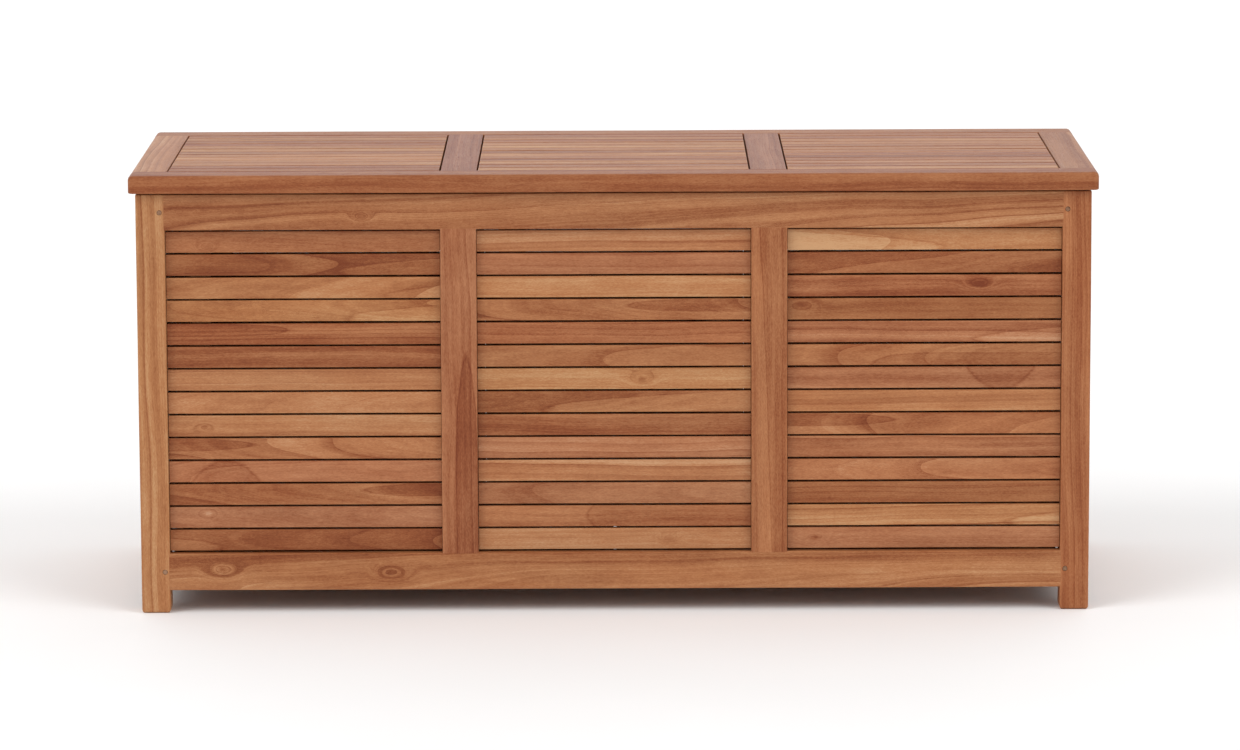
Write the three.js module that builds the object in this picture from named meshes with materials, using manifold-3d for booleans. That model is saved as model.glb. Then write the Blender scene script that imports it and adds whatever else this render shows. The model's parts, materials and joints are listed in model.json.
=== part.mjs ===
// A teak deck storage box: a framed and slatted carcass on four legs, closed by a framed, slatted lid
// on three butt hinges, with two slotted stays that stop the lid just past upright.
//
// Millimetres, +Z up, +X to the right, the front faces -Y. The origin is on the ground, under the
// middle of the bounding box.

import * as THREE from 'three';
import { mergeVertices } from 'three/addons/utils/BufferGeometryUtils.js';
import { RoundedBoxGeometry } from 'three/addons/geometries/RoundedBoxGeometry.js';
import Module from 'manifold-3d';

const wasm = await Module();
wasm.setup();

// ---------------------------------------------------------------- driving dimensions

const FIT = 0.3; // clearance between pieces that touch

// Overall
const HEIGHT = 612;
const LID_WIDTH = 1330;
const LID_DEPTH = 515;
const LID_THICKNESS = 25;
const LID_GAP = 2; // between the carcass and the closed lid
const SIDE_OVERHANG = 9;
const FRONT_OVERHANG = 10;

// Frame timber
const LEG = 40; // square section
const GROUND_GAP = 32; // from the ground to the bottom rails
const TOP_RAIL = 50;
const BOTTOM_RAIL = 52;
const RAIL_THICKNESS = 20;
const MULLION = 50;
const LID_FRAME = 50; // width of every lid frame member
const EASED = 1.5; // rounding of the timber's long edges
const LID_ROUNDING = 6; // rounding of the lid's outer top edge
const FOOT_ROUNDING = 5; // rounding round the sole of each leg

// Joints in the timber
const TENON = { length: 15, thickness: 8, height: 30 };
const STUB = { length: 12, thickness: 8, width: 30 }; // on the mullions and the lid's cross members
const PLUG = { radius: 3.2, depth: 6, inset: 7 }; // over the screw that holds each tenon

// Slats
const SLATS_PER_WALL = 14;
const SLATS_PER_LID_PANEL = 13;
const SLAT_THICKNESS = 12;
const SLAT_GAP = 2.2;
const SLAT_END_GAP = 0.4;
const SLAT_RECESS = 9; // of the walls' slats behind the frame's face
const LID_SLAT_END_GAP = 2;
const BATTEN = { width: 30, thickness: 15, from_end: 45, above_cleat: 1, below_top: 5 };
const LID_BATTEN_THICKNESS = 11;

// Floor
const CLEAT = { depth: 35, height: 25, bottom: 40 };
const FLOOR_BOARDS = 9; // in each of the two duckboards
const FLOOR_BOARD = { thickness: 16, gap: 8 };
const DUCKBOARD_BATTEN = { width: 40, thickness: 15, offset: 120 };
const FLOOR_ROOM = 2; // round each lift-out duckboard
const CLEAT_ROOM = 3; // between the ends of the cleats and the legs

// Hinges
const HINGE_PLACES = [-450, 0, 450];
const HINGE = {
  length: 70,
  leaf_depth: 24,
  leaf: 1.5,
  barrel: 3.5,
  bore: 2.3,
  pin: 2,
  pin_end: 1, // of the pin past the last knuckle
  knuckles: 5,
};

// Lid stays. The arm's pivot on the lid and the guide stud on the carcass are equally far from the hinge
// axis, so the arm turns by exactly half the lid's angle at every opening.
const STAY_REACH = 250; // from the hinge axis to the pivot, and to the stud
const STAY_PIVOT_DROP = 10; // of the pivot below the hinge axis, lid closed
const STAY_STUD_DROP = 35; // of the stud below the hinge axis
const LID_OPENING = THREE.MathUtils.degToRad(95);
const STAY_ARM = { half_width: 8, thickness: 2.5, slot: 3.4, eye: 2.8, tail: 4 };
const STUD = { shank: 3, shoulder: 5, head: 5.5, head_thickness: 2 };
const RIVET = { shank: 2.5, head: 4.5, head_thickness: 1.5, play: 1 };
const STAY_PLATE = { thickness: 2, half_width: 12, above_slats: 3, below_top: 5 };
const STAY_BRACKET = { thickness: 2, foot_thickness: 1.5, half_length: 20, half_width: 9 };
// Where the layers of a stay start, measured inwards from the inner face of the side rail.
const STAY_DEPTH = { bracket: 1, arm: 8.7, lid_flange: 13, stud_head: 14.5 };

// ---------------------------------------------------------------- planes worked out from them

const HINGE_OFFSET = HINGE.barrel + FIT; // of the hinge axis behind the carcass
const lidFront = -(LID_DEPTH + HINGE_OFFSET + HINGE.barrel) / 2;
const lidBack = lidFront + LID_DEPTH;
const lidHalf = LID_WIDTH / 2;
const lidBottom = HEIGHT - LID_THICKNESS;

const carcassTop = lidBottom - LID_GAP;
const carcassFront = lidFront + FRONT_OVERHANG;
const carcassBack = lidBack;
const carcassHalf = lidHalf - SIDE_OVERHANG;

const wallBottom = GROUND_GAP + BOTTOM_RAIL; // the slats fill the height from here...
const wallTop = carcassTop - TOP_RAIL; // ...to here

const hingeY = carcassBack + HINGE_OFFSET;
const hingeZ = (carcassTop + lidBottom) / 2;

// ---------------------------------------------------------------- colours

const TEAK = new THREE.Color(0.58, 0.33, 0.18);
const PALE_TEAK = new THREE.Color(0.66, 0.42, 0.25);
const STEEL = new THREE.Color(0.62, 0.62, 0.6);

const teak = () => new THREE.MeshStandardMaterial({ color: TEAK, roughness: 0.55, metalness: 0 });
const plugWood = () => new THREE.MeshStandardMaterial({ color: PALE_TEAK, roughness: 0.7, metalness: 0 });
const steel = () => new THREE.MeshStandardMaterial({ color: STEEL, roughness: 0.35, metalness: 1 });

// ---------------------------------------------------------------- solids

const PROUD = 1; // how far a cutting solid reaches past the surface it opens
const SUNK = 0.5; // how far a solid reaches into the one it is joined to

function solidOf(geometry) {
  geometry.deleteAttribute('normal');
  geometry.deleteAttribute('uv');
  const merged = mergeVertices(geometry, 1e-4);
  return new wasm.Manifold(
    new wasm.Mesh({
      numProp: 3,
      vertProperties: merged.attributes.position.array,
      triVerts: new Uint32Array(merged.index.array),
    }),
  );
}

// The middle and the size of the box between two opposite corners.
function spanOf(a, b) {
  const middle = a.map((value, i) => (value + b[i]) / 2);
  const size = a.map((value, i) => Math.abs(b[i] - value));
  return { middle, size };
}

function block(a, b) {
  const { middle, size } = spanOf(a, b);
  return solidOf(new THREE.BoxGeometry(...size).translate(...middle));
}

// A block with every edge rounded: one facet for eased timber, more for a larger radius.
function roundedBlock(a, b, radius, facets = 1) {
  const { middle, size } = spanOf(a, b);
  return solidOf(new RoundedBoxGeometry(...size, facets, radius).translate(...middle));
}

const timber = (a, b) => roundedBlock(a, b, EASED);

// A round rod along 'x' or 'y' between two coordinates, centred on the other two.
function rod(axis, from, to, [p, q], radius, sides = 12) {
  const geometry = new THREE.CylinderGeometry(radius, radius, Math.abs(to - from), sides);
  const middle = (from + to) / 2;
  if (axis === 'x') {
    return solidOf(geometry.rotateZ(Math.PI / 2).translate(middle, p, q));
  }
  return solidOf(geometry.translate(p, middle, q));
}

const joined = (solids) => solids.reduce((sum, solid) => sum.add(solid));
const cut = (solid, tools) => tools.reduce((rest, tool) => rest.subtract(tool), solid);

// ---------------------------------------------------------------- the scene graph

const storageBox = new THREE.Group();
const carcass = new THREE.Group();
const lid = new THREE.Group();
lid.position.set(0, hingeY, hingeZ);
storageBox.add(carcass, lid);

// Adds a solid made in the box's frame as a mesh whose own origin is its middle.
function addPiece(group, name, solid, material) {
  const { vertProperties, triVerts } = solid.getMesh();
  const geometry = new THREE.BufferGeometry()
    .setAttribute('position', new THREE.BufferAttribute(vertProperties, 3))
    .setIndex(new THREE.BufferAttribute(triVerts, 1));
  geometry.computeBoundingBox();
  const middle = geometry.boundingBox.getCenter(new THREE.Vector3());
  geometry.translate(-middle.x, -middle.y, -middle.z);
  geometry.computeVertexNormals();
  const mesh = new THREE.Mesh(geometry, material);
  mesh.name = name;
  mesh.position.copy(middle).sub(group.position);
  group.add(mesh);
}

// ---------------------------------------------------------------- the four walls

// Each wall is laid out in its own coordinates: u along the wall, v up it, w inwards from its face.
const WALLS = {
  front: {
    place: (u, v, w) => [u, carcassFront + w, v],
    start: -carcassHalf + LEG,
    end: carcassHalf - LEG,
    mullions: ['left', 'right'],
    panels: ['left', 'middle', 'right'],
  },
  back: {
    place: (u, v, w) => [u, carcassBack - w, v],
    start: -carcassHalf + LEG,
    end: carcassHalf - LEG,
    mullions: ['left', 'right'],
    panels: ['left', 'middle', 'right'],
  },
  left: {
    place: (u, v, w) => [-carcassHalf + w, u, v],
    start: carcassFront + LEG,
    end: carcassBack - LEG,
    mullions: [],
    panels: ['side'],
  },
  right: {
    place: (u, v, w) => [carcassHalf - w, u, v],
    start: carcassFront + LEG,
    end: carcassBack - LEG,
    mullions: [],
    panels: ['side'],
  },
};

const RAIL_HEIGHTS = {
  top: [wallTop, carcassTop],
  bottom: [GROUND_GAP, wallBottom],
};

const openWidth = (wall) => wall.end - wall.start - wall.mullions.length * MULLION;
const panelWidth = (wall) => openWidth(wall) / wall.panels.length;
const panelStart = (wall, index) => wall.start + index * (panelWidth(wall) + MULLION);

// The span of a wall's tenon thickness, centred in the rails.
const tenonDepth = [(RAIL_THICKNESS - TENON.thickness) / 2, (RAIL_THICKNESS + TENON.thickness) / 2];

// The tenon at one end of a rail, or, with room round it, the mortise that takes it.
function railTenon(wall, rail, atStart, room = 0) {
  const [bottom, top] = RAIL_HEIGHTS[rail];
  const middle = (bottom + top) / 2;
  const halfHeight = TENON.height / 2 + room;
  const shoulder = atStart ? wall.start : wall.end;
  const outwards = atStart ? -1 : 1;
  return block(
    wall.place(shoulder - outwards * (EASED + room), middle - halfHeight, tenonDepth[0] - room),
    wall.place(shoulder + outwards * (TENON.length + room), middle + halfHeight, tenonDepth[1] + room),
  );
}

// The stub tenon at the top or bottom of a mullion, or its mortise.
function mullionStub(wall, index, atTop, room = 0) {
  const middle = panelStart(wall, index + 1) - MULLION / 2;
  const halfWidth = STUB.width / 2 + room;
  const shoulder = atTop ? wallTop : wallBottom;
  const outwards = atTop ? 1 : -1;
  return block(
    wall.place(middle - halfWidth, shoulder - outwards * (EASED + room), tenonDepth[0] - room),
    wall.place(middle + halfWidth, shoulder + outwards * (STUB.length + room), tenonDepth[1] + room),
  );
}

function makeRail(wall, rail, extraCuts) {
  const [bottom, top] = RAIL_HEIGHTS[rail];
  const bar = timber(
    wall.place(wall.start + FIT, bottom, 0),
    wall.place(wall.end - FIT, top, RAIL_THICKNESS),
  );
  const tenons = [railTenon(wall, rail, true), railTenon(wall, rail, false)];
  const mortises = wall.mullions.map((_, index) => mullionStub(wall, index, rail === 'top', FIT));
  return cut(joined([bar, ...tenons]), [...mortises, ...extraCuts]);
}

function makeMullion(wall, index) {
  const start = panelStart(wall, index + 1) - MULLION;
  const bar = timber(
    wall.place(start, wallBottom + FIT, 0),
    wall.place(start + MULLION, wallTop - FIT, RAIL_THICKNESS),
  );
  return joined([bar, mullionStub(wall, index, true), mullionStub(wall, index, false)]);
}

// Slats side by side on two battens, in the coordinates given by place: the slats run along u and are
// stacked along v, and the battens cross behind them.
function slatPanel(place, { u, v, faceDepth, slats, endGap, battenSpan, battenThickness }) {
  const slatWidth = (v[1] - v[0] - (slats + 1) * SLAT_GAP) / slats;
  const backDepth = faceDepth + SLAT_THICKNESS;
  const pieces = [];
  for (let i = 0; i < slats; i += 1) {
    const low = v[0] + SLAT_GAP + i * (slatWidth + SLAT_GAP);
    pieces.push(
      block(
        place(u[0] + endGap, low, faceDepth),
        place(u[1] - endGap, low + slatWidth, backDepth),
      ),
    );
  }
  for (const middle of [u[0] + BATTEN.from_end, u[1] - BATTEN.from_end]) {
    pieces.push(
      block(
        place(middle - BATTEN.width / 2, battenSpan[0], backDepth),
        place(middle + BATTEN.width / 2, battenSpan[1], backDepth + battenThickness),
      ),
    );
  }
  return joined(pieces);
}

function wallPanel(wall, index) {
  const start = panelStart(wall, index);
  return slatPanel(wall.place, {
    u: [start, start + panelWidth(wall)],
    v: [wallBottom, wallTop],
    faceDepth: SLAT_RECESS,
    slats: SLATS_PER_WALL,
    endGap: SLAT_END_GAP,
    battenSpan: [CLEAT.bottom + CLEAT.height + BATTEN.above_cleat, carcassTop - BATTEN.below_top],
    battenThickness: BATTEN.thickness,
  });
}

// ---------------------------------------------------------------- legs

// A leg's outline with its two bottom corners rounded, as a solid that runs along 'x' or 'y'.
function footOutline(axis, middle) {
  const half = LEG / 2;
  const outline = new THREE.Shape()
    .moveTo(half, carcassTop)
    .lineTo(-half, carcassTop)
    .lineTo(-half, FOOT_ROUNDING)
    .absarc(-half + FOOT_ROUNDING, FOOT_ROUNDING, FOOT_ROUNDING, Math.PI, 1.5 * Math.PI)
    .absarc(half - FOOT_ROUNDING, FOOT_ROUNDING, FOOT_ROUNDING, 1.5 * Math.PI, 2 * Math.PI);
  const geometry = new THREE.ExtrudeGeometry(outline, {
    depth: LEG,
    bevelEnabled: false,
    curveSegments: 2,
  });
  geometry.translate(0, 0, -half).rotateX(Math.PI / 2);
  if (axis === 'x') {
    geometry.rotateZ(Math.PI / 2);
  }
  return solidOf(geometry.translate(middle[0], middle[1], 0));
}

// The plug over the screw of one rail's tenon, flush with the leg's face, or the hole for it.
function screwPlug(wall, side, rail, room = 0) {
  const [bottom, top] = RAIL_HEIGHTS[rail];
  const x = side * (wall.end + PLUG.inset);
  const face = wall.place(x, 0, -room)[1];
  const inner = wall.place(x, 0, PLUG.depth + room)[1];
  return rod('y', face, inner, [x, (bottom + top) / 2], PLUG.radius + room);
}

function makeLeg(side, wall, atFront) {
  const half = LEG / 2;
  const middle = [side * (carcassHalf - half), atFront ? carcassFront + half : carcassBack - half];
  const bar = timber(
    [middle[0] - half, middle[1] - half, 0],
    [middle[0] + half, middle[1] + half, carcassTop],
  );
  const sideWall = side < 0 ? WALLS.left : WALLS.right;
  const tools = ['top', 'bottom'].flatMap((rail) => [
    railTenon(wall, rail, side < 0, FIT),
    railTenon(sideWall, rail, atFront, FIT),
    screwPlug(wall, side, rail, FIT),
  ]);
  return cut(bar.intersect(footOutline('y', middle)).intersect(footOutline('x', middle)), tools);
}

// ---------------------------------------------------------------- hinges

const knuckleLength = HINGE.length / HINGE.knuckles;
const bodyLeafTop = carcassTop;
const lidLeafBottom = lidBottom;

// The recess for one leaf, open at the back.
function leafRecess(x, low, high) {
  const half = HINGE.length / 2 + FIT;
  return block(
    [x - half, carcassBack - HINGE.leaf_depth - FIT, low],
    [x + half, carcassBack + PROUD, high],
  );
}

const bodyLeafRecesses = HINGE_PLACES.map((x) =>
  leafRecess(x, bodyLeafTop - HINGE.leaf - FIT, bodyLeafTop + PROUD),
);
const lidLeafRecesses = HINGE_PLACES.map((x) =>
  leafRecess(x, lidLeafBottom - PROUD, lidLeafBottom + HINGE.leaf + FIT),
);

// One leaf with its share of the barrel: the even knuckles for the carcass, the odd ones for the lid.
function hingeLeaf(x, low, ownParity) {
  const start = x - HINGE.length / 2;
  const end = x + HINGE.length / 2;
  const leaf = block([start, carcassBack - HINGE.leaf_depth, low], [end, hingeY, low + HINGE.leaf]);
  const barrel = rod('x', start, end, [hingeY, hingeZ], HINGE.barrel);
  const tools = [rod('x', start - PROUD, end + PROUD, [hingeY, hingeZ], HINGE.bore)];
  for (let i = 0; i < HINGE.knuckles; i += 1) {
    if (i % 2 !== ownParity) {
      const from = start + i * knuckleLength - (i === 0 ? PROUD : FIT / 2);
      const to = start + (i + 1) * knuckleLength + (i === HINGE.knuckles - 1 ? PROUD : FIT / 2);
      const reach = 2 * HINGE.barrel;
      tools.push(block([from, carcassBack, hingeZ - reach], [to, hingeY + reach, hingeZ + reach]));
    }
  }
  return cut(leaf.add(barrel), tools);
}

// ---------------------------------------------------------------- lid stays

const stayPivot = [
  hingeY - Math.sqrt(STAY_REACH ** 2 - STAY_PIVOT_DROP ** 2),
  hingeZ - STAY_PIVOT_DROP,
];
const stayStud = [
  hingeY - Math.sqrt(STAY_REACH ** 2 - STAY_STUD_DROP ** 2),
  hingeZ - STAY_STUD_DROP,
];
// The angle between pivot and stud as seen from the hinge axis with the lid shut, and the distance
// between them with the lid shut and with it open.
const stayAngle = Math.asin(STAY_STUD_DROP / STAY_REACH) - Math.asin(STAY_PIVOT_DROP / STAY_REACH);
const stayShut = 2 * STAY_REACH * Math.sin(stayAngle / 2);
const stayOpen = 2 * STAY_REACH * Math.sin((stayAngle + LID_OPENING) / 2);

// The layers of a stay, from their outer to their inner face.
const LAYERS = {
  plate: [FIT, FIT + STAY_PLATE.thickness],
  arm: [STAY_DEPTH.arm, STAY_DEPTH.arm + STAY_ARM.thickness],
  lid_flange: [STAY_DEPTH.lid_flange, STAY_DEPTH.lid_flange + STAY_BRACKET.thickness],
  stud_head: [STAY_DEPTH.stud_head, STAY_DEPTH.stud_head + STUD.head_thickness],
};
const railInnerFace = carcassHalf - RAIL_THICKNESS;
const layerX = (side, depth) => side * (railInnerFace - depth);

function stayStudPlate(side) {
  const at = (depth) => layerX(side, depth);
  const [outer, inner] = LAYERS.plate;
  const plate = block(
    [at(outer), stayStud[0] - STAY_PLATE.half_width, wallTop + STAY_PLATE.above_slats],
    [at(inner), stayStud[0] + STAY_PLATE.half_width, carcassTop - STAY_PLATE.below_top],
  );
  const shoulder = rod('x', at(inner - SUNK), at(LAYERS.arm[0] - FIT), stayStud, STUD.shoulder);
  const shank = rod('x', at(inner), at(LAYERS.stud_head[1]), stayStud, STUD.shank);
  const head = rod('x', at(LAYERS.stud_head[0]), at(LAYERS.stud_head[1]), stayStud, STUD.head);
  return joined([plate, shoulder, shank, head]);
}

function stayLidBracket(side) {
  const at = (depth) => layerX(side, depth);
  const [pivotY, pivotZ] = stayPivot;
  const flangeTop = lidBottom - FIT;
  const [outer, inner] = LAYERS.lid_flange;
  const { foot_thickness, half_length, half_width } = STAY_BRACKET;
  const headFace = LAYERS.arm[0] - RIVET.play;
  const headEnd = headFace - RIVET.head_thickness;
  const foot = block(
    [at(STAY_DEPTH.bracket), pivotY - half_length, flangeTop - foot_thickness],
    [at(inner), pivotY + half_length, flangeTop],
  );
  const web = block(
    [at(outer), pivotY - half_width, pivotZ],
    [at(inner), pivotY + half_width, flangeTop - SUNK],
  );
  const nose = rod('x', at(outer), at(inner), stayPivot, half_width, 16);
  const shank = rod('x', at(headEnd), at(inner - SUNK), stayPivot, RIVET.shank);
  const head = rod('x', at(headEnd), at(headFace), stayPivot, RIVET.head);
  const collar = rod('x', at(LAYERS.arm[1] + FIT), at(outer + SUNK), stayPivot, RIVET.head);
  return joined([foot, web, nose, shank, head, collar]);
}

// The slotted arm, drawn with its pivot at the origin and its length along -y, then hung in the plane of
// the stay and turned to point at the stud.
function stayArmGeometry() {
  const half = STAY_ARM.half_width;
  const slotStart = stayShut - STUD.shank - FIT;
  const slotEnd = stayOpen + STUD.shank + FIT;
  const tail = slotEnd + STAY_ARM.tail;
  const outline = new THREE.Shape()
    .absarc(0, 0, half, 0, Math.PI)
    .absarc(0, -tail + half, half, Math.PI, 2 * Math.PI);
  const eye = new THREE.Path().absarc(0, 0, STAY_ARM.eye, 0, 2 * Math.PI, true);
  const slot = new THREE.Path()
    .absarc(0, -slotStart - STAY_ARM.slot, STAY_ARM.slot, 0, Math.PI)
    .absarc(0, -slotEnd + STAY_ARM.slot, STAY_ARM.slot, Math.PI, 2 * Math.PI);
  outline.holes.push(eye, slot);
  return new THREE.ExtrudeGeometry(outline, {
    depth: STAY_ARM.thickness,
    bevelEnabled: false,
    curveSegments: 6,
  });
}

function addStayArm(name, side) {
  const lean = Math.atan2(stayStud[0] - stayPivot[0], stayPivot[1] - stayStud[1]);
  const geometry = stayArmGeometry();
  geometry.translate(0, 0, -STAY_ARM.thickness / 2).rotateX(Math.PI / 2).rotateZ(Math.PI / 2);
  const mesh = new THREE.Mesh(geometry, steel());
  mesh.name = name;
  mesh.position.set(layerX(side, (LAYERS.arm[0] + LAYERS.arm[1]) / 2), ...stayPivot).sub(lid.position);
  mesh.rotation.x = lean;
  lid.add(mesh);
}

// ---------------------------------------------------------------- the lid's frame

const lidPanels = ['left', 'middle', 'right'];
const lidPanelWidth = (LID_WIDTH - 4 * LID_FRAME) / lidPanels.length;
const lidPanelStart = (index) => -lidHalf + LID_FRAME + index * (lidPanelWidth + LID_FRAME);
const lidInside = [lidFront + LID_FRAME, lidBack - LID_FRAME];
const stubHeight = [
  lidBottom + (LID_THICKNESS - STUB.thickness) / 2,
  lidBottom + (LID_THICKNESS + STUB.thickness) / 2,
];

// The outside of the whole lid: it rounds the top edge and the corners of the frame all the way round.
const lidEnvelope = roundedBlock(
  [-lidHalf, lidFront, lidBottom - 2 * LID_ROUNDING],
  [lidHalf, lidBack, HEIGHT],
  LID_ROUNDING,
  3,
);

const crossMembers = {
  lid_end_left: -lidHalf + LID_FRAME / 2,
  lid_mullion_left: lidPanelStart(1) - LID_FRAME / 2,
  lid_mullion_right: lidPanelStart(2) - LID_FRAME / 2,
  lid_end_right: lidHalf - LID_FRAME / 2,
};

// The stub tenon of a cross member in the front or back lid rail, or its mortise.
function lidStub(x, atFront, room = 0) {
  const shoulder = atFront ? lidInside[0] : lidInside[1];
  const outwards = atFront ? -1 : 1;
  return block(
    [x - STUB.width / 2 - room, shoulder - outwards * (EASED + room), stubHeight[0] - room],
    [x + STUB.width / 2 + room, shoulder + outwards * (STUB.length + room), stubHeight[1] + room],
  );
}

function makeLidRail(atFront, extraCuts) {
  const span = atFront ? [lidFront, lidInside[0]] : [lidInside[1], lidBack];
  const bar = timber([-lidHalf, span[0], lidBottom], [lidHalf, span[1], HEIGHT]);
  const mortises = Object.values(crossMembers).map((x) => lidStub(x, atFront, FIT));
  return cut(bar.intersect(lidEnvelope), [...mortises, ...extraCuts]);
}

function makeCrossMember(x) {
  const half = LID_FRAME / 2;
  const bar = timber(
    [x - half, lidInside[0] + FIT, lidBottom],
    [x + half, lidInside[1] - FIT, HEIGHT],
  );
  return joined([bar.intersect(lidEnvelope), lidStub(x, true), lidStub(x, false)]);
}

function lidPanel(index) {
  const start = lidPanelStart(index);
  return slatPanel((u, v, w) => [u, v, HEIGHT - w], {
    u: [start, start + lidPanelWidth],
    v: lidInside,
    faceDepth: 0,
    slats: SLATS_PER_LID_PANEL,
    endGap: LID_SLAT_END_GAP,
    battenSpan: [lidInside[0] + FIT, lidInside[1] - FIT],
    battenThickness: LID_BATTEN_THICKNESS,
  });
}

// ---------------------------------------------------------------- the floor

const floorEnd = carcassHalf - LEG - CLEAT_ROOM;
const cleatTop = CLEAT.bottom + CLEAT.height;
const boardBottom = cleatTop + FIT;

function floorCleat(wall) {
  const near = RAIL_THICKNESS + FIT;
  return timber(
    wall.place(-floorEnd, CLEAT.bottom, near),
    wall.place(floorEnd, cleatTop, near + CLEAT.depth),
  );
}

// Boards that run from front to back and lie on the two cleats, held together by two battens.
function duckboard(side) {
  const inner = side * FLOOR_ROOM;
  const span = floorEnd - FLOOR_ROOM;
  const width = (span - (FLOOR_BOARDS - 1) * FLOOR_BOARD.gap) / FLOOR_BOARDS;
  const room = RAIL_THICKNESS + FIT + BATTEN.thickness + FLOOR_ROOM;
  const ends = [carcassFront + room, carcassBack - room];
  const middle = (ends[0] + ends[1]) / 2;
  const pieces = [];
  for (let i = 0; i < FLOOR_BOARDS; i += 1) {
    const from = inner + side * i * (width + FLOOR_BOARD.gap);
    pieces.push(
      block(
        [from, ends[0], boardBottom],
        [from + side * width, ends[1], boardBottom + FLOOR_BOARD.thickness],
      ),
    );
  }
  for (const offset of [-DUCKBOARD_BATTEN.offset, DUCKBOARD_BATTEN.offset]) {
    const y = middle + offset;
    pieces.push(
      block(
        [inner, y - DUCKBOARD_BATTEN.width / 2, boardBottom - DUCKBOARD_BATTEN.thickness],
        [inner + side * span, y + DUCKBOARD_BATTEN.width / 2, boardBottom + SUNK],
      ),
    );
  }
  return joined(pieces);
}

// ---------------------------------------------------------------- assembly

for (const [wallName, wall] of Object.entries(WALLS)) {
  for (const rail of ['top', 'bottom']) {
    const recesses = wallName === 'back' && rail === 'top' ? bodyLeafRecesses : [];
    addPiece(carcass, `rail_${wallName}_${rail}`, makeRail(wall, rail, recesses), teak());
  }
  wall.mullions.forEach((mullion, index) => {
    addPiece(carcass, `mullion_${wallName}_${mullion}`, makeMullion(wall, index), teak());
  });
  wall.panels.forEach((panel, index) => {
    addPiece(carcass, `slats_${wallName}_${panel}`, wallPanel(wall, index), teak());
  });
}

for (const [sideName, side] of [['left', -1], ['right', 1]]) {
  for (const end of ['front', 'back']) {
    const wall = WALLS[end];
    addPiece(carcass, `leg_${end}_${sideName}`, makeLeg(side, wall, end === 'front'), teak());
    for (const rail of ['top', 'bottom']) {
      addPiece(carcass, `plug_${end}_${sideName}_${rail}`, screwPlug(wall, side, rail), plugWood());
    }
  }
  addPiece(carcass, `duckboard_${sideName}`, duckboard(side), teak());
  addPiece(carcass, `stay_stud_plate_${sideName}`, stayStudPlate(side), steel());
  addPiece(lid, `stay_lid_bracket_${sideName}`, stayLidBracket(side), steel());
  addStayArm(`stay_arm_${sideName}`, side);
}

addPiece(carcass, 'floor_cleat_front', floorCleat(WALLS.front), teak());
addPiece(carcass, 'floor_cleat_back', floorCleat(WALLS.back), teak());

addPiece(lid, 'lid_rail_front', makeLidRail(true, []), teak());
addPiece(lid, 'lid_rail_back', makeLidRail(false, lidLeafRecesses), teak());
for (const [name, x] of Object.entries(crossMembers)) {
  addPiece(lid, name, makeCrossMember(x), teak());
}
lidPanels.forEach((panel, index) => {
  addPiece(lid, `lid_slats_${panel}`, lidPanel(index), teak());
});

['left', 'middle', 'right'].forEach((place, index) => {
  const x = HINGE_PLACES[index];
  const half = HINGE.length / 2;
  addPiece(carcass, `hinge_leaf_box_${place}`, hingeLeaf(x, bodyLeafTop - HINGE.leaf, 0), steel());
  addPiece(lid, `hinge_leaf_lid_${place}`, hingeLeaf(x, lidLeafBottom, 1), steel());
  addPiece(
    carcass,
    `hinge_pin_${place}`,
    rod('x', x - half - HINGE.pin_end, x + half + HINGE.pin_end, [hingeY, hingeZ], HINGE.pin),
    steel(),
  );
});

export default storageBox;
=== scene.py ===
import json
import math
import random

import bmesh
import bpy
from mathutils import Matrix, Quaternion, Vector


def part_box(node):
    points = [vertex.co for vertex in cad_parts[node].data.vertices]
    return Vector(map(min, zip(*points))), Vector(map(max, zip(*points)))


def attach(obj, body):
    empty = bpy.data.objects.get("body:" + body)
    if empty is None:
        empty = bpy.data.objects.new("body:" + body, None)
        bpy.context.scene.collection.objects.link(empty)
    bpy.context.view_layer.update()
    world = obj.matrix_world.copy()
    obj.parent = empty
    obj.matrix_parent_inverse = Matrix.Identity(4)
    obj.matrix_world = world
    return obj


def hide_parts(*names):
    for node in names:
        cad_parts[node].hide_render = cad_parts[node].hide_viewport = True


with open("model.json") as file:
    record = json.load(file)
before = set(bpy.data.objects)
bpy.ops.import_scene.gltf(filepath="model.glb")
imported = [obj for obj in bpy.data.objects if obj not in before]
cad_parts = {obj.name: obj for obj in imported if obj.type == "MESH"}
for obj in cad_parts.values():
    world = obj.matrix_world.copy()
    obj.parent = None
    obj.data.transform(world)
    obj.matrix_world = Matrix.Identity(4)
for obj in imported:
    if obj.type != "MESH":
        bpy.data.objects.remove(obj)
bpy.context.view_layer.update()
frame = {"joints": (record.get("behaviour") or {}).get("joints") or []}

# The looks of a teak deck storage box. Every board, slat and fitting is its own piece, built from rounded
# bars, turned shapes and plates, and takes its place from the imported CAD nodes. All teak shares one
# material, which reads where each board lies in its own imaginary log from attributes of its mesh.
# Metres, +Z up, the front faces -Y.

X, Y, Z = 0, 1, 2
THIRDS = ("left", "middle", "right")  # panels along the front, the back and the lid, and hinges

# -------------------- dimensions

# Roundings
EASED = 0.0015  # long edges of the frame timber
SLAT_EASED = 0.0007
SHOULDER = 0.0002  # end edges that meet another board
LET_IN = 0.0012  # how far a shoulder reaches into the eased edge that it meets, so the two faces run on
LID_ROUNDING = 0.006
FOOT_ROUNDING = 0.005
LEAST_ROUNDING = 0.2  # share of a long edge's radius that is left where an end is rounded off

# Joints between shapes
FIT = 0.0003  # clearance between pieces that touch
PROUD = 0.002  # how far a cutting shape reaches past the surface it opens
SUNK = 0.001  # how far a metal part reaches into the one it is fixed to

# How far boards are from perfect
WANDER = 0.00015  # of a board's sides from straight
SIDE_WAVES = (9, 23)  # radians per metre along a board, of its sides...
FACE_WAVES = (7, 19)  # ...and of its faces
SECTION_SPACING = 0.05  # between the sections that follow them
SLAT_PLAY = 0.0003  # how much a slat's height and recess may differ from the others'

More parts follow.
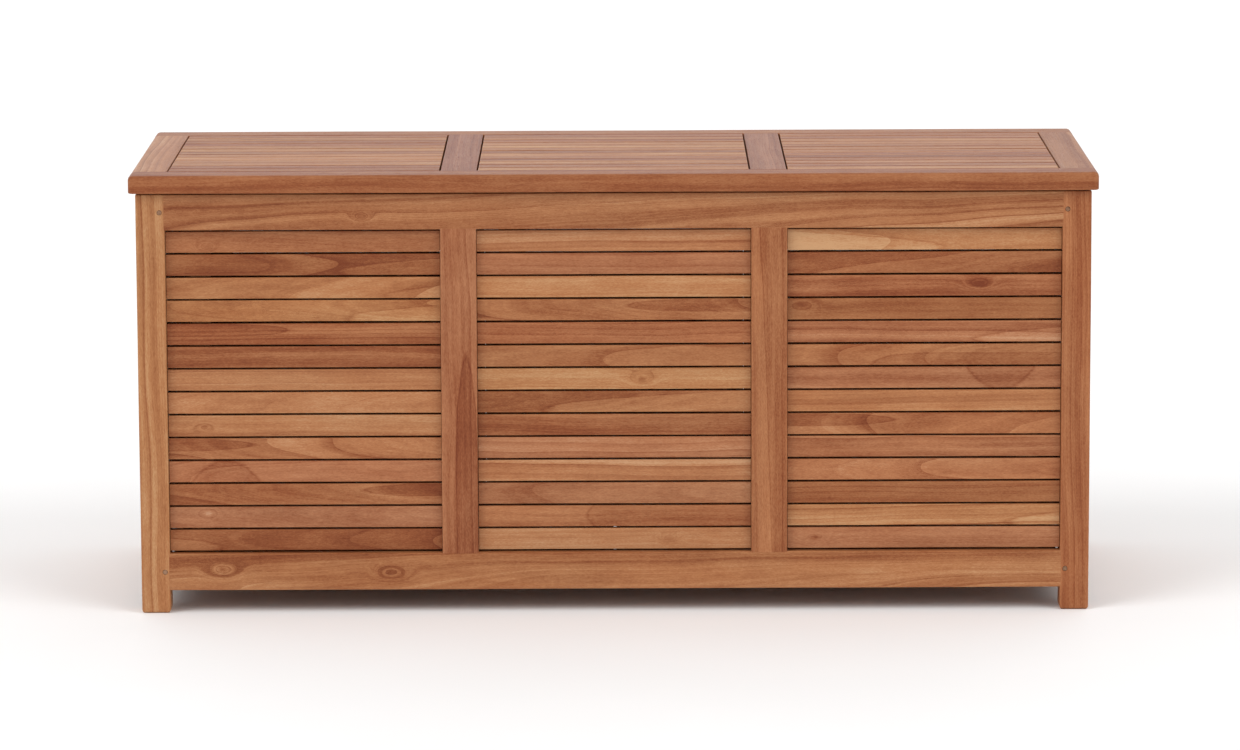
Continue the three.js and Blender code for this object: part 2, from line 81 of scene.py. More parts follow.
# Slats and battens
SLATS_PER_WALL = 14
SLATS_PER_LID_PANEL = 13
SLAT_GAP = 0.0022
SLAT_THICKNESS = 0.012
BATTEN_WIDTH = 0.030
BATTEN_FROM_END = 0.045

# Floor
FLOOR_BOARDS = 9
FLOOR_GAP = 0.008
FLOOR_BOARD_THICKNESS = 0.016
FLOOR_BATTEN_WIDTH = 0.040
FLOOR_BATTEN_OFFSET = 0.120

# Plugs over the screws that lock the rails' tenons
PLUG_RADIUS = 0.0032
PLUG_DEPTH = 0.006
PLUG_DOME = ((0.0006, 0.0032), (0.0002, 0.0029), (0.0001, 0.0016))  # depth below the leg's face, radius

# Hinges
LEAF_THICKNESS = 0.0015
LEAF_DEPTH = 0.024
LEAF_CORNER = 0.004
KNUCKLES = 5
KNUCKLE_RIM = 0.0003
BARREL_RADIUS = 0.0035
BORE_RADIUS = 0.0023
PIN_RADIUS = 0.0020
PIN_END = 0.001  # of the pin past the last knuckle
PIN_TIP = ((0.0, 0.5), (0.0004, 0.9), (0.0008, 1.0))  # distance from the pin's end, share of its radius
LEAF_SCREWS = [(0.14, 0.007), (0.38, 0.013), (0.62, 0.013), (0.86, 0.007)]  # share of length, from front

# Lid stays
ARM_HALF_WIDTH = 0.008
ARM_THICKNESS = 0.0025
ARM_EDGE = 0.0003
ARM_EYE = 0.0028
ARM_SLOT = 0.0034
ARM_TAIL = 0.004  # of the arm past its slot
SHEET = 0.002  # thickness of the stud's plate and of the bracket's flange
SHEET_EDGE = 0.0003
PLATE_CORNER = 0.004
STUD_DROP = 0.035  # of the stud below the hinge axis
STUD_SHANK = 0.003
STUD_SHOULDER = 0.005
STUD_SHOULDER_REACH = 0.0081  # from the back of the stud's plate
STUD_HEAD = 0.0055
STUD_HEAD_THICKNESS = 0.002
STUD_CHAMFER = 0.0004
STUD_HEAD_CHAMFER = 0.0008
RIVET_SHANK = 0.0025
RIVET_HEAD = 0.0045
RIVET_HEAD_THICKNESS = 0.0015
RIVET_PLAY = 0.001
RIVET_CHAMFER = 0.0004
RIVET_HEAD_CHAMFER = 0.0006
COLLAR_SUNK = 0.0002  # of the rivet's collar in the flange
BRACKET_FOOT = 0.0015  # thickness of the bracket's foot
BRACKET_CORNER = 0.003
BRACKET_NOSE = 0.009  # half width of the bracket's flange
NOSE_INSET = 0.0001  # of the flange's round end inside the flange's faces

# Screws: the radius of their heads, and how far they are from the fitting's edges
SCREW_DOME = ((-0.0004, 1.0), (0.0, 1.0), (0.0003, 0.86), (0.0005, 0.64))  # height, share of the radius
SCREW_RECESS = ((0.0005, 1.0), (-0.0003, 0.8))  # height, share of the cross's width
CROSS_HUB = 0.14  # of the screw's radius...
CROSS_ARM = 0.40  # ...and how much further the cross reaches along its arms
LEAF_SCREW = 0.0031
PLATE_SCREW = 0.0024
PLATE_SCREW_INSET = (0.005, 0.006)  # from the sides, and from the ends
BRACKET_SCREW = 0.0028
BRACKET_SCREW_INSET = 0.006

# How finely shapes are made
ROUND_STEPS = 3  # facets of a rounding
TURNED_SIDES = 32
HALF_CIRCLE_STEPS = 16
SHARP_ANGLE = math.radians(40)

# -------------------- the boards' looks, in words

# A board's look is a few words: a tone, a hue, a figure, and what stands where along it, in hundredths of
# its length from the left, the front or the bottom. A tongue runs from its tip there, which may lie past
# the far end, back to that end, or on to the other end if its place is negative. A stain reaches in from
# the upper edge there, or from the lower edge if its place is negative.
TONES = {
    "darkest": 0.27, "dark": 0.33, "brown": 0.40, "mid": 0.47,
    "tan": 0.54, "light": 0.60, "pale": 0.66, "palest": 0.72,
}
HUES = {  # how much red, green and blue they leave
    # a bluish grey that paints the white sheen of a grazing reflection into the colour
    "ashen": (0.97, 1.01, 1.36),
    "grey": (0.98, 1.00, 1.12),
    "pink": (1.00, 0.98, 1.06),
    "red": (1.02, 0.97, 0.97),
    "gold": (1.00, 1.00, 0.95),
}
FIGURES = {  # degrees round the log where the board was cut, how much its rings stand out, and their tilt
    "striped": (76, 88, 1.35, 0.0),
    "straight": (65, 88, 1.0, 0.0),
    "plain": (40, 80, 0.75, 0.0),
    "flowing": (35, 50, 1.5, 0.022),
    "wavy": (12, 30, 1.2, 0.05),
    "arched": (0, 10, 1.0, 0.05),
}
KNOTS = {  # half length, half width, and how dark their middle is
    "knot": (0.020, 0.009, 1.0),
    "eye": (0.012, 0.006, 0.6),
    "fleck": (0.010, 0.005, -0.7),
}
# Tongues of heartwood or of sapwood: how much paler they are, and then, in board widths, their half width,
# how far off centre they are, how far from their tip they have that width, and where they stop widening.
TONGUES = {
    "flame": (-0.22, 0.29, 0.19, 1.9, 1.9),
    "sap": (0.15, 0.50, -0.35, 3.2, 20.0),
    "rim": (0.11, 0.32, -0.55, 3.2, 20.0),
    "shade": (-0.13, 0.55, -0.48, 1.3, 1.3),
    "heart": (-0.10, 0.80, 0.0, 0.8, 20.0),
}
# Stains: how much paler they are, and then, in board widths, how far past the board's middle their tip is,
# and the depth and the half length of the arch that they fill.
STAINS = {
    "stain": (-0.12, 0.6, 1.1, 1.6),
}
MARKS = {"knots": KNOTS, "tongues": TONGUES, "stains": STAINS}

# The front's slats, from the top down.
FRONT_LOOKS = {
    "left": [
        "brown wavy eye 15", "darkest wavy sap -62", "tan gold arched sap -80",
        "mid gold wavy sap -66", "brown red straight flame 45", "darkest straight", "light plain",
        "pale arched", "pale plain eye 13", "tan wavy flame 30", "light pink arched stain -21",
        "brown wavy flame -72", "tan grey wavy fleck 14", "dark red arched sap 20",
    ],
    "middle": [
        "light straight", "mid pink plain", "pale gold plain", "tan gold wavy flame -55",
        "mid red straight", "tan arched", "pale gold straight knot 60", "brown wavy sap -25", "dark straight",
        "light pink plain", "pale straight", "mid grey arched", "mid plain heart -40", "palest plain eye 70",
    ],
    "right": [
        "palest gold arched sap 55", "dark red arched", "darkest red straight knot 70",
        "mid gold plain knot 5", "mid pink straight sap -70", "mid arched shade -31",
        "mid pink plain stain 78", "light gold plain", "mid red arched flame 38", "mid pink straight",
        "tan red arched", "brown plain", "pale gold straight sap -80", "tan pink plain knot 10",
    ],
}
# The lid's slats, from the back to the front. They are striped unless they say otherwise.
LID_LOOKS = {
    "left": [
        "dark", "tan gold", "dark grey", "dark pink", "light gold", "pale gold", "dark grey",
        "light gold", "palest gold plain", "mid gold", "pale", "brown grey", "dark",
    ],
    "middle": [
        "dark grey", "mid", "mid", "light gold plain", "pale gold", "tan", "mid grey", "light gold",
        "mid pink", "dark", "tan gold", "brown grey", "pale gold",
    ],
    "right": [
        "mid", "mid grey", "tan gold", "pale gold", "brown", "tan gold plain", "tan", "mid pink",
        "dark grey", "mid gold", "light", "dark grey", "pale gold",
    ],
}
FRAME_LOOKS = {
    "leg_front_left": "pale gold straight",
    "leg_front_right": "brown red straight",
    "rail_front_top": "tan flowing eye 22",
    "rail_front_bottom": "mid flowing knot 6 knot 25",
    "mullion_front_left": "mid pink plain flame 61",
    "mullion_front_right": "brown plain rim 130",
    "lid_rail_front": "dark red plain",
    # the lid's mullions carry a painted sheen in their hue
    "lid_mullion_left": "dark ashen straight",
    "lid_mullion_right": "dark ashen straight",
    "lid_end_left": "light grey straight",
    "lid_end_right": "brown grey straight",
}
COMMON_TONES = ["dark", "brown", "mid", "mid", "tan", "tan", "light", "pale"]
COMMON_HUES = ["pink", "gold", "red", "", "", ""]
COMMON_FIGURES = ["straight", "plain", "flowing", "arched", "wavy"]
EYE_CHANCE = 0.12

# How much two boards with the same words differ
TONE_SPREAD = 0.012
TINT_SPREAD = 0.015
CONTRAST_SPREAD = 0.15
CROSS_TILT_SPREAD = 0.012
TILT_SHARE = (0.6, 1.4)  # of their figure's tilt
NEAR_PITH = (0.030, 0.055)  # distance of tilted wood from the middle of the log...
FAR_FROM_PITH = (0.05, 0.12)  # ...and of other wood
KNOT_SPREAD = 0.22  # of a board's width, either way from its middle
LOG_LENGTH = 40.0


def any_look(rng):
    """The words of a board that no one has chosen."""
    words = [rng.choice(COMMON_TONES), rng.choice(COMMON_HUES), rng.choice(COMMON_FIGURES)]
    if rng.random() < EYE_CHANCE:
        words.append("eye %d" % rng.randint(10, 90))
    return " ".join(words)


# -------------------- shapes: lists of points and faces

def four(value):
    """One value for each of four corners or sides."""
    return value if isinstance(value, tuple) else (value,) * 4


def rounded_outline(a, b, radii):
    """Points round the rectangle a[0]..a[1] by b[0]..b[1], each corner with its own radius."""
    corners = [(a[0], b[0], 1, 1, 2), (a[1], b[0], -1, 1, 3), (a[1], b[1], -1, -1, 0), (a[0], b[1], 1, -1, 1)]
    points = []
    for (corner_a, corner_b, in_a, in_b, quarter), radius in zip(corners, radii):
        for step in range(ROUND_STEPS + 1):
            angle = math.pi / 2 * (quarter + step / ROUND_STEPS)
            points.append((
                corner_a + in_a * radius + radius * math.cos(angle),
                corner_b + in_b * radius + radius * math.sin(angle),
            ))
    return points


def end_sections(start, inwards, radii):
    """The sections that round one end of a bar: where each lies, and how far its four sides are drawn in."""
    depth = max(radii)
    for step in range(ROUND_STEPS + 1):
        angle = math.pi / 2 * step / ROUND_STEPS
        place = start + inwards * depth * (1 - math.cos(angle))
        yield place, [radius * (1 - math.sin(angle)) for radius in radii]


def bar(low, high, along, face, rounds, ends=EASED, spacing=None, sway=None):
    """A box with rounded edges whose sections follow one another in direction along. rounds are the radii of
    its four long edges, and ends those of the end edges, for one end or for both."""
    across = 3 - along - face
    ends = ends if isinstance(ends, list) else [ends, ends]
    sections = list(end_sections(low[along], 1, four(ends[0])))
    first, last = sections[-1][0], high[along] - max(four(ends[1]))
    pieces = max(1, round((last - first) / spacing)) if spacing else 1
    for i in range(1, pieces):
        sections.append((first + (last - first) * i / pieces, [0, 0, 0, 0]))
    sections += reversed(list(end_sections(high[along], -1, four(ends[1]))))
    points = []
    for place, (in_a0, in_a1, in_b0, in_b1) in sections:
        shift = sway(place) if sway else (0, 0)
        a = (low[across] + in_a0 + shift[0], high[across] - in_a1 + shift[0])
        b = (low[face] + in_b0 + shift[1], high[face] - in_b1 + shift[1])
        drawn = [min(in_a0, in_b0), min(in_a1, in_b0), min(in_a1, in_b1), min(in_a0, in_b1)]
        radii = [
            max(radius - inset, radius * LEAST_ROUNDING) for radius, inset in zip(four(rounds), drawn)
        ]
        for point_a, point_b in rounded_outline(a, b, radii):
            point = [0, 0, 0]
            point[along], point[across], point[face] = place, point_a, point_b
            points.append(tuple(point))
    return points, ring_faces(len(sections), 4 * (ROUND_STEPS + 1))


def ring_faces(rings, count, looped=False):
    """Quads between one ring of points and the next, and a cap at both ends, or, if looped, quads between
    the last ring and the first."""
    faces = []
    for ring in range(rings if looped else rings - 1):
        base, above = ring * count, (ring + 1) % rings * count
        for i in range(count):
            j = (i + 1) % count
            faces.append((base + i, base + j, above + j, above + i))
    if not looped:
        faces.append(tuple(range(count))[::-1])
        faces.append(tuple(range((rings - 1) * count, rings * count)))
    return faces


def turned(axis, centre, profile, looped=False):
    """A turned shape: profile lists (distance along the axis, radius), where the radius may be a function of
    the angle. A looped profile makes a ring."""
    side_a, side_b = [k for k in (X, Y, Z) if k != axis]
    points = []
    for offset, radius in profile:
        for i in range(TURNED_SIDES):
            angle = 2 * math.pi * i / TURNED_SIDES
            reach = radius(angle) if callable(radius) else radius
            point = list(centre)
            point[axis] += offset
            point[side_a] += reach * math.cos(angle)
            point[side_b] += reach * math.sin(angle)
            points.append(tuple(point))
    return points, ring_faces(len(profile), TURNED_SIDES, looped)


def knob(axis, centre, start, end, radius, chamfer):
    """A short turned rod between two distances along its axis, with chamfered rims."""
    near, far = sorted((start, end))
    profile = [
        (near, radius - chamfer), (near + chamfer, radius), (far - chamfer, radius), (far, radius - chamfer),
    ]
    return turned(axis, centre, profile)


def mesh_of(name, shapes):
    """One mesh of several shapes, with every face turned outwards."""
    shell = bmesh.new()
    for points, faces in shapes:
        made = [shell.verts.new(point) for point in points]
        for face in faces:
            shell.faces.new([made[i] for i in face])
    bmesh.ops.recalc_face_normals(shell, faces=shell.faces)
    mesh = bpy.data.meshes.new(name)
    shell.to_mesh(mesh)
    shell.free()
    return mesh


def new_object(name, data):
    """An object in the scene."""
    made = bpy.data.objects.new(name, data)
    bpy.context.scene.collection.objects.link(made)
    return made


def carved(mesh, tools):
    """The mesh with the tools' shapes cut out of it."""
    body = new_object("carved", mesh)
    cutter = new_object("cutter", mesh_of("cutter", tools))
    cut = body.modifiers.new("cut", "BOOLEAN")
    cut.object = cutter
    cut.operation = "DIFFERENCE"
    cut.solver = "EXACT"
    depsgraph = bpy.context.evaluated_depsgraph_get()
    result = bpy.data.meshes.new_from_object(body.evaluated_get(depsgraph))
    bpy.data.objects.remove(body)
    bpy.data.objects.remove(cutter)
    return result


def add_piece(name, mesh, body, slot, node):
    """A finished piece that rides on a CAD body, is made of one material and stands for a CAD node, or for
    a share of it."""
    mesh.shade_smooth()
    mesh.set_sharp_from_angle(angle=SHARP_ANGLE)
    mesh.materials.clear()
    mesh.materials.append(MATERIALS[slot])
    piece = new_object(name, mesh)
    shading = piece.modifiers.new("even_shading", "WEIGHTED_NORMAL")
    shading.keep_sharp = True
    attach(piece, body)
    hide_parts(node)


# -------------------- wood

def read_look(words, rng):
    """What a board's words say, as numbers."""
    words = words.split()
    figure = next((w for w in words if w in FIGURES), "plain")  # the first one counts
    turn_from, turn_to, contrast, tilt = FIGURES[figure]
    tone = next((TONES[w] for w in words if w in TONES), TONES["mid"])
    hue = next((HUES[w] for w in words if w in HUES), (1.0, 1.0, 1.0))
    look = {
        "tone": tone + rng.uniform(-TONE_SPREAD, TONE_SPREAD),
        "tint": [share * rng.uniform(1 - TINT_SPREAD, 1 + TINT_SPREAD) for share in hue],
        "contrast": rng.uniform(1 - CONTRAST_SPREAD, 1 + CONTRAST_SPREAD) * contrast,
        "turn": math.radians(rng.uniform(turn_from, turn_to)) * rng.choice((-1, 1)),
        "to_pith": rng.uniform(*(NEAR_PITH if tilt else FAR_FROM_PITH)),
        "tilt_across": rng.uniform(-CROSS_TILT_SPREAD, CROSS_TILT_SPREAD),
        "tilt_deep": rng.uniform(*TILT_SHARE) * rng.choice((-1, 1)) * tilt,
    }
    for kind, known in MARKS.items():
        look[kind] = [
            (float(place) / 100, *known[word]) for word, place in zip(words, words[1:]) if word in known
        ]
    return look


def set_attribute(mesh, name, kind, values):
    """Stores one value, a tuple of numbers, for each of the mesh's points."""
    field = "value" if kind == "FLOAT" else "vector"
    attribute = mesh.attributes.new(name, kind, "POINT")
    attribute.data.foreach_set(field, [x for value in values for x in value])


# A point of a board is (u, v, w): its distances from the board's middle along it, across it and out of its
# face.
FAR = 9.0  # where a knot or a tongue lies that a board doesn't have
WEAR_HIGHLIGHT_FROM = 0.0002  # how deep inside the board's box an edge's rounding starts to look worn and to carry a painted highlight
WEAR_HIGHLIGHT_RAMP = 0.00025  # how much deeper it is all worn and highlighted


def knots_of(look, in_board, length, width, rng):
    """For each of two knots, and each point: how many half lengths and half widths the point is from the
    knot's middle, and how dark the knot is."""
    knots = [[(FAR, FAR, 0.0)] * len(in_board) for _ in range(2)]
    for index, (place, half_length, half_width, depth) in enumerate(look["knots"][:2]):
        middle_u = (place - 0.5) * length
        middle_v = rng.uniform(-KNOT_SPREAD, KNOT_SPREAD) * width
        knots[index] = [
            ((u - middle_u) / half_length, (v - middle_v) / half_width, depth) for u, v, w in in_board
        ]
    return knots


def tongue_of(look, in_board, length, width):
    """For each point, how far it is from the tip of the board's tongue and from the tongue's middle line,
    as shares of where its edge is, and how much paler the tongue is. A stain is a tongue that lies across
    the board."""
    if look["stains"]:
        place, depth, tip, arch_depth, half_length = look["stains"][0]
        middle = (abs(place) - 0.5) * length
        upwards = math.copysign(width, place)
        return [
            ((v / upwards + tip) / arch_depth, (u - middle) / (half_length * width), depth)
            for u, v, w in in_board
        ]
    if look["tongues"]:
        place, depth, half_width, aside, reach, full = look["tongues"][0]
        tip, middle = (abs(place) - 0.5) * length, aside * width
        backwards = math.copysign(width, place)
        return [
            (min((tip - u) / backwards, full) / reach, (v - middle) / (half_width * width), depth)
            for u, v, w in in_board
        ]
    return [(-FAR, 0.0, 0.0)] * len(in_board)


def wear_and_highlight_of(points, low, high):
    """For each point, 0 on a face and 1 where an edge is rounded off: there the wood is paler, as worn wood
    and as a painted highlight.
    """
    wear_and_highlight = []
    for p in points:
        nearest = min(min(p[k] - low[k], high[k] - p[k]) for k in (X, Y, Z))
        wear_and_highlight.append((min(1.0, max(0.0, (nearest - WEAR_HIGHLIGHT_FROM) / WEAR_HIGHLIGHT_RAMP)),))
    return wear_and_highlight


def write_grain(mesh, along, face, outward, look, rng):
    """Writes where each point of a board lies in its imaginary log, and how the board looks."""
    across = 3 - along - face
    points = [vertex.co.copy() for vertex in mesh.vertices]
    low = [min(p[k] for p in points) for k in (X, Y, Z)]
    high = [max(p[k] for p in points) for k in (X, Y, Z)]
    length, width = high[along] - low[along], high[across] - low[across]
    middle = [(low[k] + high[k]) / 2 for k in (X, Y, Z)]
    in_board = [
        (p[along] - middle[along], p[across] - middle[across], outward * (p[face] - middle[face]))
        for p in points
    ]
    pith_across = look["to_pith"] * math.sin(look["turn"])
    pith_deep = look["to_pith"] * math.cos(look["turn"])
    log_start = rng.uniform(0, LOG_LENGTH)
    grain = [
        (log_start + u, v + pith_across + look["tilt_across"] * u, w + pith_deep + look["tilt_deep"] * u)
        for u, v, w in in_board
    ]
    knots = knots_of(look, in_board, length, width, rng)
    seed = rng.uniform(0, 100)
    vectors = {
        "grain": grain,
        "look": [(look["tone"], look["contrast"], seed)] * len(points),
        "tint": [look["tint"]] * len(points),
        "knot_a": knots[0],
        "knot_b": knots[1],
        "tongue": tongue_of(look, in_board, length, width),
    }
    for name, values in vectors.items():
        set_attribute(mesh, name, "FLOAT_VECTOR", values)
    # where the rounded edges are painted paler: worn wood, and a painted highlight
    set_attribute(mesh, "wear_and_highlight", "FLOAT", wear_and_highlight_of(points, low, high))


def wave(place, rates, phases):
    """A value between -1 and 1 that wanders along a board."""
    return 0.6 * math.sin(rates[0] * place + phases[0]) + 0.4 * math.sin(rates[1] * place + phases[1])


def timber(name, low, high, along, face, body, node, words=None, rounds=EASED, ends=EASED, outward=1,
           tools=None):
    """One board: a rounded bar that wanders a little, with its own grain, and with the tools cut out."""
    rng = random.Random(name)
    look = read_look(words or any_look(rng), rng)
    across = 3 - along - face
    low, high = list(low), list(high)
    for axis in (across, face):
        low[axis] += WANDER
        high[axis] -= WANDER
    phases = [rng.uniform(0, 2 * math.pi) for _ in range(4)]

    def sway(place):
        return (
            WANDER * wave(place, SIDE_WAVES, phases[:2]),
            WANDER * wave(place, FACE_WAVES, phases[2:]),
        )

    mesh = mesh_of(name, [bar(low, high, along, face, rounds, ends, SECTION_SPACING, sway)])
    if tools:
        mesh = carved(mesh, tools)
        mesh.name = name
    write_grain(mesh, along, face, outward, look, rng)
    add_piece(name, mesh, body, "teak", node)


# -------------------- materials

class Tree:
    """A material's nodes, with one short method for each kind of step."""

    def __init__(self, name):
        self.material = bpy.data.materials.new(name)
        self.material.use_nodes = True
        self.nodes = self.material.node_tree.nodes
        self.links = self.material.node_tree.links
        self.nodes.clear()

    def add(self, kind, inputs=(), **settings):
        """A node, with its inputs set to values or linked to other nodes' outputs."""
        made = self.nodes.new("ShaderNode" + kind)
        for setting, value in settings.items():
            setattr(made, setting, value)
        for socket, value in dict(inputs).items():
            if isinstance(value, bpy.types.NodeSocket):
                self.links.new(value, made.inputs[socket])
            else:
                made.inputs[socket].default_value = value
        return made

    def attribute(self, name, output="Vector"):
        return self.add("Attribute", attribute_name=name, attribute_type="GEOMETRY").outputs[output]

    def place(self):
        return self.add("TexCoord").outputs["Object"]

    def parts(self, vector):
        return self.add("SeparateXYZ", {0: vector}).outputs

    def vector(self, *values):
        return self.add("CombineXYZ", enumerate(values)).outputs[0]

    def maths(self, operation, *values):
        return self.add("Math", enumerate(values), operation=operation).outputs[0]

    def total(self, *values):
        result = values[0]
        for value in values[1:]:
            result = self.maths("ADD", result, value)
        return result

    def times(self, value, factor):
        return self.maths("MULTIPLY", value, factor)

    def stretch(self, vector, factors):
        return self.add("VectorMath", {0: vector, 1: factors}, operation="MULTIPLY").outputs[0]

    def noise(self, vector, detail=2.0, roughness=0.5, output=0):
        inputs = {"Vector": vector, "Scale": 1.0, "Detail": detail, "Roughness": roughness}
        return self.add("TexNoise", inputs).outputs[output]

    def swing(self, value, amount):
        """A noise value, which lies round 0.5, as amount times its distance from there."""
        return self.times(self.maths("SUBTRACT", value, 0.5), amount)

    def rise(self, value, start, end):
        """0 before start, 1 after end, and smooth between them."""
        inputs = {"Value": value, "From Min": start, "From Max": end}
        return self.add("MapRange", inputs, interpolation_type="SMOOTHSTEP").outputs[0]

    def ramp(self, value, stops):
        """The colour for a value, from stops of (value, colour)."""
        made = self.add("ValToRGB", {0: value})
        elements = made.color_ramp.elements
        while len(elements) < len(stops):
            elements.new(0.5)
        for element, (place, colour) in zip(elements, stops):
            element.position = place
            element.color = (*colour, 1.0)
        return made.outputs[0]

    def bump(self, height, distance, strength):
        return self.add("Bump", {"Height": height, "Distance": distance, "Strength": strength}).outputs[0]

    def finish(self, **inputs):
        """The material itself, with one shader."""
        names = {
            "colour": "Base Color", "normal": "Normal", "roughness": "Roughness", "metallic": "Metallic",
            "specular": "Specular IOR Level",
        }
        shader = self.add("BsdfPrincipled", {names[k]: v for k, v in inputs.items()})
        self.add("OutputMaterial", {"Surface": shader.outputs[0]})
        return self.material


# Teak from its darkest lines to its palest.
TEAK_SHADES = [
    (0.0, (0.161, 0.035, 0.010)),
    (0.26, (0.248, 0.075, 0.025)),
    (0.68, (0.417, 0.177, 0.074)),
    (1.0, (0.530, 0.292, 0.150)),
]
LIFT = 0.04  # how much paler all boards are than their tone says
RINGS_PER_METRE = 150.0
KNOT_RISE = 0.026  # how far a knot pushes the rings aside
KNOT_HEART = -0.26  # how much the middle of a knot adds to the tone...
KNOT_ROUND = -0.12  # ...and the wood round it
OUTLINE = -0.17  # how much the edge of a tongue or a stain adds


def teak(name, shades, roughness):
    """Sanded teak, cut from a log whose rings run round its pith. Grain noise has its own scale, per metre,
    along the fibres and across them."""
    t = Tree(name)
    grain = t.attribute("grain")
    tone, contrast, seed = t.parts(t.attribute("look"))

    def grain_noise(along, across, **settings):
        return t.noise(t.stretch(grain, (along, across, across)), **settings)

    sway = grain_noise(4.0, 16.0, detail=1.0, output=1)
    wander = t.stretch(sway, (0.0, 0.014, 0.014))
    x, y, z = t.parts(t.add("VectorMath", {0: grain, 1: wander}, operation="ADD").outputs[0])
    rings = t.maths("SQRT", t.total(t.times(y, y), t.times(z, z)))
    patches = grain_noise(11.0, 32.0, detail=3.0, roughness=0.6)
    spots = []
    for knot in ("knot_a", "knot_b"):
        along, across, depth = t.parts(t.attribute(knot))
        distance = t.total(t.times(along, along), t.times(across, across), t.swing(patches, 1.1))
        distance = t.maths("MAXIMUM", distance, 0.0)
        near = t.maths("EXPONENT", t.times(distance, -1.0))
        rings = t.total(rings, t.times(near, KNOT_RISE))
        heart = t.times(t.maths("POWER", near, 9.0), KNOT_HEART)
        spots.append(t.times(t.total(heart, t.times(near, KNOT_ROUND)), depth))

    # Each year's ring has its own width and tone, and some start with a dark line that fades.
    width = t.noise(t.vector(seed, t.times(rings, 60.0), 3.0), detail=0.0)
    year = t.total(t.times(rings, RINGS_PER_METRE), t.swing(width, 1.5))
    draw = t.add("TexWhiteNoise", {0: t.vector(t.maths("FLOOR", year), seed, 0.0)}).outputs[1]
    ring_tone, marked, _ = t.parts(draw)
    fade = t.maths("EXPONENT", t.times(t.maths("FRACT", year), -4.0))
    late_wood = t.times(fade, t.rise(marked, 0.3, 0.9))
    slow_x = t.times(x, 0.9)
    lines = t.noise(t.vector(slow_x, t.times(rings, 650.0), 0.0), detail=2.0, roughness=0.6)
    bands = t.noise(t.vector(slow_x, t.times(rings, 90.0), 7.0), detail=1.0)

    # What follows the fibres, and not the rings.
    streaks = grain_noise(3.0, 110.0, detail=3.0, roughness=0.6)
    mottle = grain_noise(75.0, 260.0, detail=2.0)
    fibres = grain_noise(14.0, 900.0, detail=2.0)
    specks = grain_noise(260.0, 1000.0, detail=1.0)
    pores = t.rise(grain_noise(70.0, 1400.0, detail=1.0), 0.58, 0.70)

    # A tongue of another wood, or a stain, with a dark outline.
    reach, aside, depth = t.parts(t.attribute("tongue"))
    ragged = t.total(t.swing(streaks, 0.35), t.swing(patches, 0.45))
    inside = t.total(reach, t.times(t.times(aside, aside), -1.0), ragged)
    outline = t.maths("EXPONENT", t.times(t.times(inside, inside), -120.0))
    tongue = t.total(t.times(t.rise(inside, -0.03, 0.05), depth), t.times(outline, OUTLINE))

    ringed = t.total(
        t.swing(ring_tone, 0.20), t.times(late_wood, -0.30), t.swing(lines, 0.36), t.swing(bands, 0.60),
    )
    fibrous = t.total(
        t.swing(streaks, 0.34), t.swing(patches, 0.40), t.swing(mottle, 0.16), t.swing(fibres, 0.16),
        t.swing(specks, 0.44), t.times(pores, -0.09),
    )
    shade = t.total(
        tone, LIFT, t.times(ringed, contrast), fibrous, tongue, *spots,
        # rounded edges paler: worn wood, and a painted highlight along them
        t.times(t.attribute("wear_and_highlight", "Fac"), 0.05),
    )
    blush = grain_noise(5.0, 24.0, detail=1.0)
    flush = t.vector(1.0, t.total(1.0, t.swing(blush, 0.16)), t.total(1.0, t.swing(blush, 0.28)))
    tint = t.stretch(t.attribute("tint"), flush)
    colour = t.stretch(t.ramp(shade, shades), tint)
    height = t.total(t.times(fibres, 0.5), t.times(lines, 0.3), t.times(pores, -0.6), t.times(specks, 0.2))
    return t.finish(
        colour=colour,
        roughness=t.total(t.swing(fibres, 0.2), t.times(pores, 0.12), roughness),
        normal=t.bump(height, 0.00035, 0.5),
        specular=0.2,
    )


def brushed_steel(name):
    """Stainless steel brushed along its length, a little duller in patches."""
    t = Tree(name)
    place = t.place()
    brushing = t.noise(t.stretch(place, (160.0, 2600.0, 2600.0)), detail=2.0)
    smears = t.noise(t.stretch(place, (60.0, 60.0, 60.0)), detail=3.0)
    return t.finish(
        colour=t.ramp(t.total(t.times(brushing, 0.6), t.times(smears, 0.4)), [
            (0.25, (0.38, 0.375, 0.36)), (0.75, (0.58, 0.58, 0.56)),
        ]),
        metallic=1.0,
        roughness=t.total(0.24, t.times(smears, 0.16), t.times(brushing, 0.10)),
        normal=t.bump(brushing, 0.00004, 0.6),
    )


def pale_floor(name):
    """A plain, nearly white floor."""
    t = Tree(name)
    mottle = t.noise(t.stretch(t.place(), (2.0, 2.0, 2.0)), detail=4.0)
    return t.finish(
        colour=t.ramp(mottle, [(0.3, (0.96, 0.96, 0.96)), (0.7, (0.98, 0.98, 0.98))]), roughness=0.9,
    )


PLUG_SHADES = [
    (0.0, (0.08, 0.035, 0.020)),
    (0.3, (0.18, 0.088, 0.048)),
    (0.7, (0.33, 0.185, 0.110)),
    (1.0, (0.50, 0.32, 0.20)),
]
MATERIALS = {
    "teak": teak("teak", TEAK_SHADES, 0.46),
    "plug_wood": teak("plug_wood", PLUG_SHADES, 0.62),
    "steel": brushed_steel("steel"),
}

# -------------------- walls, legs and plugs

def low_of(node):
    """The low corner of a CAD node's box."""
    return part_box(node)[0]


def high_of(node):
    """The high corner of a CAD node's box."""
    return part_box(node)[1]


def span(node, axis, low, high):
    """The corners of a node's box, with its reach along one axis set by its neighbours' faces."""
    corners = [list(corner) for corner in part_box(node)]
    corners[0][axis], corners[1][axis] = low, high
    return corners


def corners_of(reaches):
    """The low and the high corner of a box, from its two ends along each axis."""
    return [min(reaches[k]) for k in (X, Y, Z)], [max(reaches[k]) for k in (X, Y, Z)]


